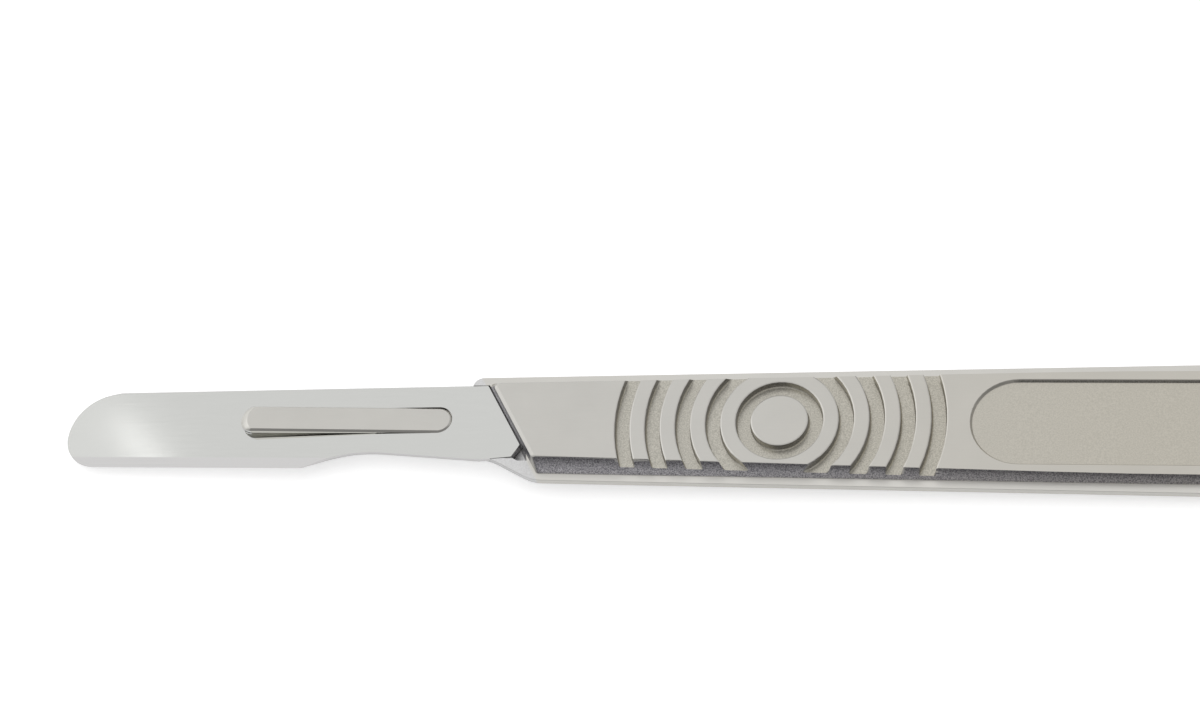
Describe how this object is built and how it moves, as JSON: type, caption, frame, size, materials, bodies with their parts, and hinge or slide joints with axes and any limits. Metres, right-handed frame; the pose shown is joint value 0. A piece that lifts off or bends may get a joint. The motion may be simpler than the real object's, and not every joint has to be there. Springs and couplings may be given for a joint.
{
  "type": "scalpel",
  "caption": "Slim flat stainless steel scalpel handle with a concentric ring grip, a slanted shoulder and a round-bellied blade clipped on its tongue.",
  "frame": {"origin": "centre of the bounding box at the bottom, on the handle's back panel face", "axes": "+X along the handle from the blade's tip to the tail, +Y across it to the blade's spine, +Z out of the face that carries the blade"},
  "size_m": [0.14, 0.0118, 0.0038],
  "materials": {
    "handle_steel": "satin, forged and ground, with blasted grainy grooves and walls",
    "blade_steel": "smooth cold-rolled strip with a ground edge"
  },
  "bodies": {
    "root": {"handle": "handle_steel", "blade": "blade_steel"}
  },
  "joints": []
}
